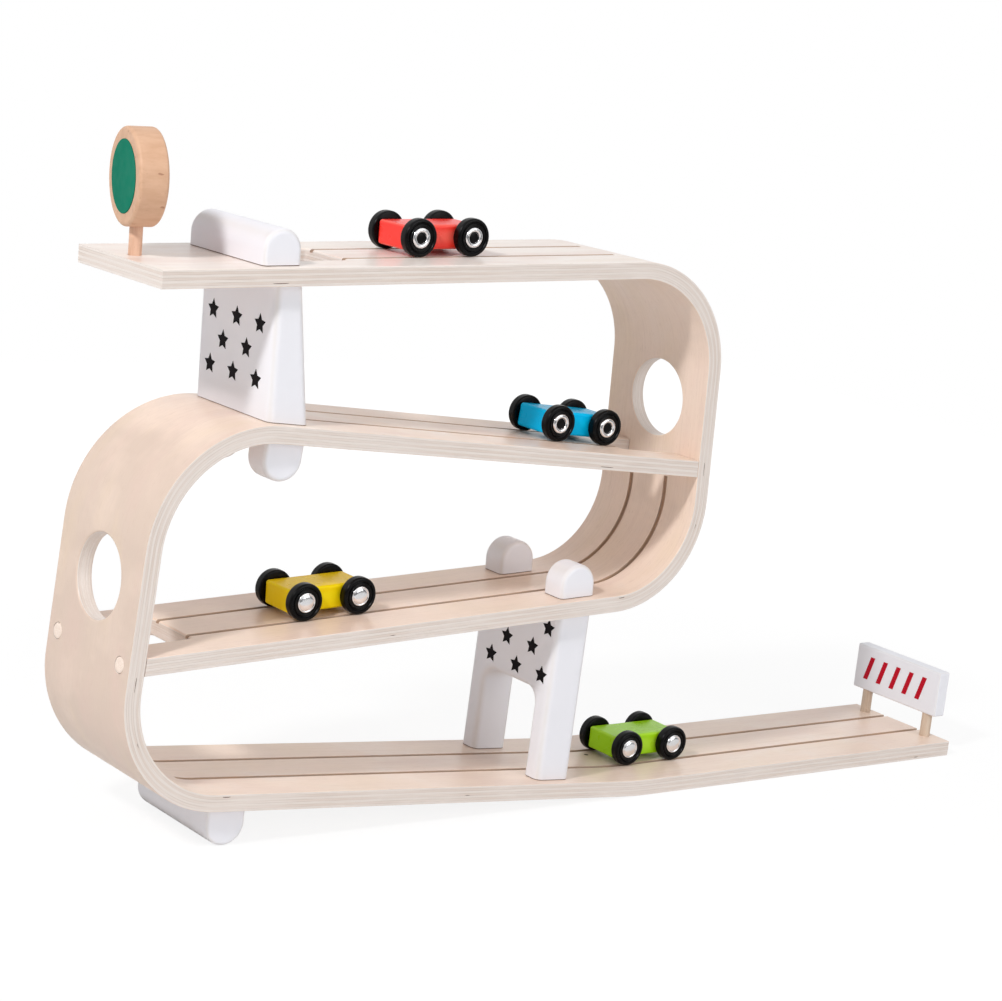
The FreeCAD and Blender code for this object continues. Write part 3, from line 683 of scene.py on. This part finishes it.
screw_steel, tree, shader = new_material("zinc_steel", Metallic=1.0, Roughness=0.35)
object_place = add_node(tree, "TexCoord").outputs["Object"]
dull = noise(tree, object_place, 900.0, 3.0)
tree.links.new(tint(tree, dull, ZINC_DULL, ZINC_BRIGHT), shader.inputs["Base Color"])


def finish_node(node, material):
    """Keeps a CAD solid in view and gives it its finish."""
    solid = frame["nodes"][node]
    solid.data.materials.clear()
    solid.data.materials.append(material)


for wall, track in WALL_FIXINGS:
    bm = bmesh.new()
    for spot, y, into in fixing_places(wall, track):
        turned(bm, in_metres(PLUG_PROFILE), Vector((spot.x, y, spot.y)), (into.x, 0, into.y), 40)
    plugs = new_piece(bm, wall + "_plugs_sanded")
    smooth_shade(plugs, 50)
    fit_out(plugs, plug_wood, "plug_wood", "stand", wall + "_plugs")
    finish_node(wall + "_screws", screw_steel)


# White blocks.
# Posts, pads, bumper and foot bar are solid wood with well rounded edges under white satin paint,
# glued to the decks. The paint has a fine roller skin and lies thinner on the edges, and a painted
# contact shadow darkens the joints.
WHITE_PAINT = srgb(240, 240, 246)
WHITE_THIN = srgb(228, 223, 219)
# Painted contact shadow along the joint of a block and a deck
JOINT_SHADE = srgb(126, 108, 96)
BLOCK_EASE = 0.5 * MM
JOINT_REACH = 0.45 * MM
SHARP_EDGE = math.radians(40)
ROUNDED_SHARE = 0.25
LEVEL_FACING = 0.95

# Skin of paint over the vector it is given, in metres: slow mottling and the fine roller texture
skin_group, skin_in, skin_out = new_group(
    "paint_skin", {"Place": None, "Fineness": 1.0}, ["Mottle", "Skin"])
skin_scale = sums(skin_group, "MULTIPLY", skin_in["Fineness"], 40.0)
skin_place = add_node(skin_group, "VectorMath", {"operation": "SCALE"},
                      at0=skin_in["Place"], Scale=skin_scale).outputs[0]
skin_out("Mottle", noise(skin_group, skin_place, 1.0, 3.0))
skin_out("Skin", noise(skin_group, skin_place, 30.0, 2.0, 0.6))


def paint_material(name, colour, edge_wear_and_light, roughness, fineness=1.0, gloss=0.2, joint=None, relief=0.6):
    """Rolled paint with another tone on the eased edges (worn thin paint on the white blocks, a painted
    highlight on the cars, a painted shadow line on the sign's roundels) and a painted contact shadow at
    glued joints.
    """
    material, tree, shader = new_material(name, Specular_IOR_Level=gloss)
    object_place = add_node(tree, "TexCoord").outputs["Object"]
    skin = place_group(tree, skin_group, Place=object_place, Fineness=fineness)
    spread = sums(tree, "MULTIPLY_ADD", skin["Mottle"], 0.8, 0.1)
    # Eased edges take each finish's edge tone, real wear on some finishes and painted light on others
    edge_wear_and_light_share = sums(tree, "MULTIPLY", read(tree, "eased"), spread)
    shade = tint(tree, edge_wear_and_light_share, colour, edge_wear_and_light)
    if joint:
        shade = tint(tree, read(tree, "joint"), shade, joint)
    tree.links.new(shade, shader.inputs["Base Color"])
    rough = stepped(tree, skin["Mottle"], 0.3, 0.7, roughness - 0.04, roughness + 0.06)
    tree.links.new(rough, shader.inputs["Roughness"])
    raise_surface(tree, shader, skin["Skin"], 0.04 * MM, relief)
    return material


def clean_copy(node, ease=0.0):
    """Copy of a CAD solid with clean faces, and its sharp edges eased by sanding where asked."""
    bm = bmesh.new()
    bm.from_mesh(frame["nodes"][node].data)
    bmesh.ops.remove_doubles(bm, verts=bm.verts, dist=2e-6)
    bmesh.ops.dissolve_limit(bm, angle_limit=math.radians(0.4), verts=bm.verts, edges=bm.edges)
    if ease:
        sharp = [e for e in bm.edges if len(e.link_faces) == 2 and e.calc_face_angle() > SHARP_EDGE]
        bmesh.ops.bevel(bm, geom=sharp, offset=ease, segments=2, profile=0.5, affect="EDGES",
                        clamp_overlap=True)
    piece = new_piece(bm, node + "_finished")
    smooth_shade(piece)
    return piece


def mark_edges(piece, tilt=0.0):
    """Stores where a block, tilted about Y, is rounded, and where it meets a deck."""
    mesh = piece.data
    turn = Matrix.Rotation(-math.radians(tilt), 3, "Y")
    eased = []
    for vertex in mesh.vertices:
        local = turn @ vertex.normal
        eased.append(min(1.0, (1.0 - max(abs(c) for c in local)) / ROUNDED_SHARE))
    store(mesh, "eased", "FLOAT", "POINT", eased)
    # Faces at the joint with a deck, which get a painted contact shadow
    joint = []
    for face in mesh.polygons:
        near = 0.0
        for side, stretches in layouts.values():
            run, depth, into = on_track(side, stretches, face.center.x, face.center.z)
            off = max(-depth, depth - PLY)
            level = abs(face.normal.x * into.x + face.normal.z * into.y) > LEVEL_FACING
            if abs(off) < JOINT_REACH and not level:
                near = 1.0
        joint.append(near)
    store(mesh, "joint", "FLOAT", "FACE", joint)


white_paint = paint_material("white_satin_paint", WHITE_PAINT, WHITE_THIN, 0.42, gloss=0.35,
                             joint=JOINT_SHADE)
for block in ("top_bumper", "upper_post", "under_pad_near", "under_pad_far", "lower_post",
              "ramp_pad_near", "ramp_pad_far", "foot_bar"):
    piece = clean_copy(block, BLOCK_EASE)
    mark_edges(piece)
    fit_out(piece, white_paint, "white_paint", "stand", block)


# Stars on the posts.
# Small five-pointed stars, printed in near-black in staggered rows on the face of each post that
# looks to the left.
STAR_INK = srgb(10, 8, 10)
STAR_WORN = srgb(34, 28, 31)
STAR_REACH = 5.8 * MM
STAR_WAIST = 2.95 * MM
INK_DEPTH = 0.12 * MM
FACING = 0.985

# Middle of each star on its post, across and up, in millimetres
star_places = {
    "upper_post": ((24.2, 289.6), (-0.3, 289.6), (-24.1, 289.6), (12.6, 274.3), (-11.8, 274.3),
                   (24.7, 259.1), (0.6, 259.1), (-23.1, 259.1)),
    "lower_post": ((20.5, 78.9), (-4.7, 78.6), (-29.6, 79.1), (7.2, 93.4), (-17.8, 93.9),
                   (20.0, 109.0), (-5.1, 110.0), (-30.8, 108.4)),
}

star_ink, tree, shader = new_material("star_ink", Roughness=0.55, Specular_IOR_Level=0.04)
object_place = add_node(tree, "TexCoord").outputs["Object"]
skin = place_group(tree, skin_group, Place=object_place, Fineness=6.0)
tree.links.new(tint(tree, skin["Mottle"], STAR_INK, STAR_WORN), shader.inputs["Base Color"])
raise_surface(tree, shader, skin["Skin"], 0.03 * MM)


def facing_plane(node, way):
    """Point and normal of a solid's largest flat face that looks the given way."""
    facets = [f for f in frame["nodes"][node].data.polygons if f.normal.dot(way) > FACING]
    best = max(facets, key=lambda f: f.area)
    return best.center.copy(), best.normal.copy()


def printed(name, outline, normal):
    """Film of ink on a flat face, from the outline of the print."""
    bm = bmesh.new()
    lofted(bm, [[point + normal * depth for point in outline] for depth in (-0.5 * INK_DEPTH, INK_DEPTH)])
    return new_piece(bm, name)


for post, spots in star_places.items():
    centre, normal = facing_plane(post, Vector((-1, 0, 0)))
    for number, (across, height) in enumerate(spots, 1):
        points = []
        for corner in range(10):
            reach = STAR_REACH if corner % 2 == 0 else STAR_WAIST
            angle = math.radians(36 * corner)
            y = across * MM - reach * math.sin(angle)
            z = height * MM + reach * math.cos(angle)
            x = centre.x - (normal.y * (y - centre.y) + normal.z * (z - centre.z)) / normal.x
            points.append(Vector((x, y, z)))
        star = printed("%s_star_%d" % (post, number), points, normal)
        fit_out(star, star_ink, "white_paint", "stand")


# Signal sign.
# A thick beech disc with a green and a red painted roundel let into its faces, on a beech dowel
# that turns in the top deck.
BEECH_LIGHT = srgb(218, 177, 147)
BEECH_WARM = srgb(203, 159, 128)
BEECH_FLECK = srgb(158, 106, 80)
BEECH_TURN = (0.0, 0.0, 0.19)
BEECH_GRAIN = (4.5 * MM, 16 * MM)
DOWEL_LIGHT = srgb(230, 191, 165)
DOWEL_WARM = srgb(209, 163, 136)
DOWEL_FLECK = srgb(164, 120, 96)
DOWEL_TURN = (0.0, math.pi / 2, 0.0)
DOWEL_GRAIN = (1.6 * MM, 30 * MM)
DASH_SPREAD = (230.0, 460.0, 460.0)
SIGN_EASE = 0.25 * MM
# Roundel paint, darker on its rounded rim as a painted shadow line where it meets the wood
SIGN_GREEN = srgb(2, 122, 96)
GREEN_RIM_SHADE = srgb(2, 62, 46)
SIGN_RED = srgb(196, 24, 30)
RED_RIM_SHADE = srgb(110, 10, 14)


def beech_material(name, light, warm, fleck, turn, grain_size):
    """Sanded beech whose grain is turned into its length, with its small darker flecks."""
    material, tree, shader = new_material(name, Roughness=0.5, Specular_IOR_Level=0.3)
    object_place = add_node(tree, "TexCoord").outputs["Object"]
    along = add_node(tree, "VectorRotate", {"rotation_type": "EULER_XYZ"},
                     Vector=object_place, Rotation=turn).outputs[0]
    width, length = grain_size
    grain = place_group(tree, grain_group, Place=along, Line_Width=width, Line_Length=length)
    colour = tint(tree, stepped(tree, grain["Streak"], 0.3, 0.75, 0.0, 0.8), light, warm)
    colour = tint(tree, stepped(tree, grain["Fibre"], 0.45, 0.8, 0.0, 0.3), colour, warm)
    dash = noise(tree, stretched(tree, along, DASH_SPREAD), 1.0, 1.0)
    colour = tint(tree, stepped(tree, dash, 0.7, 0.8, 0.0, 0.7), colour, fleck)
    tree.links.new(colour, shader.inputs["Base Color"])
    raise_surface(tree, shader, grain["Streak"], 0.05 * MM)
    return material


sign_beech = beech_material("sign_beech", BEECH_LIGHT, BEECH_WARM, BEECH_FLECK, BEECH_TURN, BEECH_GRAIN)
dowel_beech = beech_material("dowel_beech", DOWEL_LIGHT, DOWEL_WARM, DOWEL_FLECK, DOWEL_TURN, DOWEL_GRAIN)
green_paint = paint_material("signal_green", SIGN_GREEN, GREEN_RIM_SHADE, 0.5, 4.0, 0.03)
red_paint = paint_material("signal_red", SIGN_RED, RED_RIM_SHADE, 0.5, 4.0, 0.03)
sign_finishes = (
    ("sign_disc", sign_beech, "sign_wood"),
    ("sign_green_inset", green_paint, "sign_green"),
    ("sign_red_inset", red_paint, "sign_red"),
    ("sign_dowel", dowel_beech, "sign_wood"),
)
for node, material, slot in sign_finishes:
    piece = clean_copy(node, SIGN_EASE)
    mark_edges(piece)
    fit_out(piece, material, slot, "sign", node)


# Finish barrier.
# A white painted board with five slanted red stripes, on two beech dowels at the end of the run-out.
BARRIER_LIGHT = srgb(219, 201, 182)
BARRIER_WARM = srgb(198, 172, 150)
STRIPE_RED = srgb(188, 8, 36)
STRIPES = 5
STRIPE_FIRST = 23.7 * MM
STRIPE_PITCH = 12.4 * MM
STRIPE_SLANT = 5.0 * MM
STRIPE_WIDTH = 4.0 * MM
STRIPE_LOW = 34.0 * MM
STRIPE_HIGH = 50.5 * MM

piece = clean_copy("barrier_board")
mark_edges(piece)
fit_out(piece, white_paint, "white_paint", "stand", "barrier_board")
barrier_beech = beech_material("barrier_beech", BARRIER_LIGHT, BARRIER_WARM, DOWEL_FLECK, DOWEL_TURN,
                               DOWEL_GRAIN)
piece = clean_copy("barrier_dowels")
fit_out(piece, barrier_beech, "dowel_wood", "stand", "barrier_dowels")

stripe_red = paint_material("stripe_red", STRIPE_RED, STRIPE_RED, 0.45, 3.0, 0.12)
centre, normal = facing_plane("barrier_board", Vector((-1, 0, 0)))
for number in range(STRIPES):
    top = STRIPE_FIRST - number * STRIPE_PITCH
    foot = top + STRIPE_SLANT
    half = STRIPE_WIDTH / 2
    corners = ((top + half, STRIPE_HIGH), (top - half, STRIPE_HIGH),
               (foot - half, STRIPE_LOW), (foot + half, STRIPE_LOW))
    stripe = printed("barrier_stripe_%d" % (number + 1), [Vector((centre.x, y, z)) for y, z in corners],
                     normal)
    fit_out(stripe, stripe_red, "sign_red", "stand")


# Toy cars.
# Each is a block of wood with rounded edges under gloss paint, with two steel axles, four black
# rubber tyres and bright press-on hub caps: rings on the red and blue cars, discs on the others.
car_slopes = {"red_car": 2.01, "blue_car": -5.04, "yellow_car": 2.89, "green_car": 0.0}

# Paint, a lighter tone on the rounded edges that is a painted highlight, and gloss
car_paints = {
    "red_car": (srgb(252, 50, 38), srgb(255, 116, 100), 0.36),
    "blue_car": (srgb(0, 195, 255), srgb(10, 206, 255), 0.08),
    "yellow_car": (srgb(255, 221, 0), srgb(255, 234, 24), 0.1),
    "green_car": (srgb(166, 228, 0), srgb(196, 240, 70), 0.25),
}
DISC_CARS = ("yellow_car", "green_car")
RUBBER_BLACK = srgb(3, 3, 4)
RUBBER_DUST = srgb(13, 13, 16)
CHROME_HAZE = srgb(226, 226, 228)
CHROME_BRIGHT = srgb(244, 244, 246)
AXLE_DULL = srgb(150, 150, 154)
AXLE_BRIGHT = srgb(196, 196, 200)
TYRE_INNER = 13.0

# Turned sections, in millimetres: distance beyond the tyre's inner face, then radius
TYRE_PROFILE = (
    (0.0, 1.55), (0.0, 7.4), (0.15, 9.9), (0.45, 10.5), (0.9, 10.8), (1.5, 10.9), (4.7, 10.9),
    (5.3, 10.8), (5.8, 10.5), (6.1, 10.0), (6.2, 9.4), (6.15, 8.95), (5.8, 8.7), (5.35, 8.55),
    (5.2, 8.2), (5.35, 7.9), (5.8, 7.7), (5.95, 7.3), (5.85, 6.9), (5.6, 6.6), (5.45, 6.35),
    (5.45, 1.55))
RING_PROFILE = (
    (5.45, 5.95), (5.9, 5.9), (6.3, 5.7), (6.6, 5.35), (6.75, 4.85), (6.75, 4.3), (6.6, 3.85),
    (6.3, 3.5), (5.6, 3.3))
HUB_PROFILE = ((5.5, 3.3), (5.7, 3.2), (5.85, 2.7), (5.95, 1.9), (6.0, 0.9))
DISC_PROFILE = (
    (5.45, 5.8), (6.0, 5.76), (6.3, 5.55), (6.4, 5.25), (6.3, 4.98), (6.05, 4.8), (6.3, 4.6),
    (6.6, 4.2), (6.78, 3.3), (6.9, 2.2), (6.94, 0.9))

rubber, tree, shader = new_material("tyre_rubber", Roughness=0.28, Specular_IOR_Level=0.14)
object_place = add_node(tree, "TexCoord").outputs["Object"]
dust = noise(tree, object_place, 500.0, 3.0)
rubber_tone = tint(tree, stepped(tree, dust, 0.45, 0.75), RUBBER_BLACK, RUBBER_DUST)
tree.links.new(rubber_tone, shader.inputs["Base Color"])
raise_surface(tree, shader, noise(tree, object_place, 2500.0, 2.0), 0.04 * MM, 0.5)

chrome, tree, shader = new_material("hub_chrome", Metallic=1.0, Roughness=0.12)
object_place = add_node(tree, "TexCoord").outputs["Object"]
haze = noise(tree, object_place, 700.0, 3.0)
tree.links.new(tint(tree, haze, CHROME_HAZE, CHROME_BRIGHT), shader.inputs["Base Color"])
tree.links.new(stepped(tree, haze, 0.3, 0.7, 0.1, 0.24), shader.inputs["Roughness"])

axle_steel, tree, shader = new_material("axle_steel", Metallic=1.0, Roughness=0.3)
object_place = add_node(tree, "TexCoord").outputs["Object"]
drawn = noise(tree, stretched(tree, object_place, (2500.0, 60.0, 2500.0)), 1.0, 2.0)
tree.links.new(tint(tree, drawn, AXLE_DULL, AXLE_BRIGHT), shader.inputs["Base Color"])


def wheel_part(bm, profile, centre, side, steps=64, closed=False):
    """Part of a wheel turned about its axle, from distances beyond the tyre's inner face."""
    steps_out = [((TYRE_INNER + out) * MM, radius * MM) for out, radius in profile]
    turned(bm, steps_out, centre, (0, side, 0), steps, closed)


for car, slope in car_slopes.items():
    paint, edge_highlight, gloss = car_paints[car]
    piece = clean_copy(car + "_body")
    mark_edges(piece, slope)
    gloss_paint = paint_material(car + "_gloss", paint, edge_highlight, 0.28, 2.0, gloss, relief=0.2)
    fit_out(piece, gloss_paint, "paint_" + car.split("_")[0], car, car + "_body")
    for end in ("left", "right"):
        pair = "%s_%s" % (car, end)
        body = pair + "_wheels"
        finish_node(pair + "_axle", axle_steel)
        low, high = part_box(pair + "_axle")
        centre = (low + high) / 2
        for word, side in (("near", -1), ("far", 1)):
            bm = bmesh.new()
            wheel_part(bm, TYRE_PROFILE, centre, side, 72, True)
            node = "%s_tyre_%s" % (pair, word)
            tyre = new_piece(bm, node + "_rubber")
            smooth_shade(tyre, 35)
            fit_out(tyre, rubber, "tyre", body, node)
        bm = bmesh.new()
        for side in (-1, 1):
            wheel_part(bm, DISC_PROFILE if car in DISC_CARS else RING_PROFILE, centre, side, 48)
        piece = new_piece(bm, pair + "_hub_caps_pressed")
        smooth_shade(piece, 40)
        fit_out(piece, chrome, "hub_cap", body, pair + "_hub_caps")
        if car not in DISC_CARS:
            bm = bmesh.new()
            for side in (-1, 1):
                wheel_part(bm, HUB_PROFILE, centre, side, 40)
            hubs = new_piece(bm, pair + "_hub_middles")
            smooth_shade(hubs, 40)
            fit_out(hubs, rubber, "tyre", body)


# Studio.
# A pale floor and plain soft light: a small lamp high on the left, a large one in front and one
# above. The backdrop is white to the camera, dimmer as a light, and darker to shiny faces in front.
KEY_WAY = Vector((-0.744, -0.253, 0.618))
KEY_AIM = Vector((0.0, 0.0, 0.15))
KEY_DISTANCE = 2.2
FLOOR_HALF = 1.4
FLOOR_GREY = (0.86, 0.86, 0.86, 1.0)

floor_mesh = bpy.data.meshes.new("studio_floor")
floor_corners = [(x * FLOOR_HALF, y * FLOOR_HALF, 0) for x, y in ((-1, -1), (1, -1), (1, 1), (-1, 1))]
floor_mesh.from_pydata(floor_corners, [], [(0, 1, 2, 3)])
floor = bpy.data.objects.new("studio_floor", floor_mesh)
bpy.context.scene.collection.objects.link(floor)
floor.location.z = -0.2 * MM
floor_white, tree, shader = new_material("floor_white", Base_Color=FLOOR_GREY, Roughness=0.9,
                                         Specular_IOR_Level=0.1)
object_place = add_node(tree, "TexCoord").outputs["Object"]
away = add_node(tree, "VectorMath", {"operation": "LENGTH"}, at0=object_place).outputs["Value"]
glow = add_node(tree, "Emission", Color=(1.0, 1.0, 1.0, 1.0), Strength=1.06)
seen = add_node(tree, "LightPath").outputs["Is Camera Ray"]
share = sums(tree, "MULTIPLY", seen, stepped(tree, away, 0.3, 1.1, 0.82, 1.0))
mix = add_node(tree, "MixShader", at0=share, at1=shader.outputs[0], at2=glow.outputs[0])
tree.links.new(mix.outputs[0], tree.nodes["Material Output"].inputs["Surface"])
floor.data.materials.append(floor_white)

# Light that the backdrop gives to the pieces, and how much darker reflections see it in front
WORLD_LEVEL = 0.48
ROOM_SHADE = 0.8
world = bpy.data.worlds.new("studio")
bpy.context.scene.world = world
world.use_nodes = True
tree = world.node_tree
backdrop = tree.nodes["Background"]
path = add_node(tree, "LightPath").outputs
shown = sums(tree, "MAXIMUM", sums(tree, "MAXIMUM", path["Is Camera Ray"], path["Is Glossy Ray"]),
             path["Is Transmission Ray"])
sight = add_node(tree, "SeparateXYZ", Vector=add_node(tree, "TexCoord").outputs["Generated"]).outputs
in_front = stepped(tree, sight["Y"], -0.5, -0.2, 1.0, 0.0)
in_room = sums(tree, "MULTIPLY", in_front, stepped(tree, sight["Z"], 0.25, 0.5, 1.0, 0.0))
mirrored_room = sums(tree, "MULTIPLY", in_room, path["Is Glossy Ray"])
level = sums(tree, "MULTIPLY_ADD", shown, 1.0 - WORLD_LEVEL, WORLD_LEVEL)
backdrop.inputs["Color"].default_value = (1.0, 1.0, 1.0, 1.0)
tree.links.new(sums(tree, "MULTIPLY_ADD", mirrored_room, -ROOM_SHADE, level), backdrop.inputs["Strength"])


def soft_box(name, place, aim, size, power):
    """Square lamp that looks from its place to the point it lights."""
    lamp = bpy.data.lights.new(name, "AREA")
    lamp.shape = "SQUARE"
    lamp.size = size
    lamp.energy = power
    stand = bpy.data.objects.new(name, lamp)
    bpy.context.scene.collection.objects.link(stand)
    stand.location = place
    stand.rotation_euler = (Vector(aim) - Vector(place)).to_track_quat("-Z", "Y").to_euler()


soft_box("key_light", KEY_AIM + KEY_WAY.normalized() * KEY_DISTANCE, KEY_AIM, 0.2, 23.0)
soft_box("front_light", (0.9, -2.3, 1.0), KEY_AIM, 1.5, 16.0)
soft_box("top_light", (-0.1, 0.1, 2.2), KEY_AIM, 1.2, 2.0)

# Camera fitted to the photograph's edges and openings
CAMERA_PLACE = Vector((-1.0071, -1.2111, 0.4921))
CAMERA_LENS = 95.04
YAW, PITCH, ROLL = math.radians(-38.3), math.radians(11.42), math.radians(6.55)
camera_data = bpy.data.cameras.new("photo_camera")
camera_data.sensor_width = 36.0
camera_data.sensor_fit = "HORIZONTAL"
camera_data.lens = CAMERA_LENS
camera = bpy.data.objects.new("photo_camera", camera_data)
bpy.context.scene.collection.objects.link(camera)
back = Vector((math.sin(YAW) * math.cos(PITCH), -math.cos(YAW) * math.cos(PITCH), math.sin(PITCH)))
right = Vector((math.cos(YAW), math.sin(YAW), 0.0))
up = right.cross(-back)
side_axis = right * math.cos(ROLL) + up * math.sin(ROLL)
up_axis = up * math.cos(ROLL) - right * math.sin(ROLL)
turn = Matrix((side_axis, up_axis, back)).transposed().to_4x4()
camera.matrix_world = Matrix.Translation(CAMERA_PLACE) @ turn
bpy.context.scene.camera = camera
bpy.context.scene.view_settings.view_transform = "Standard"
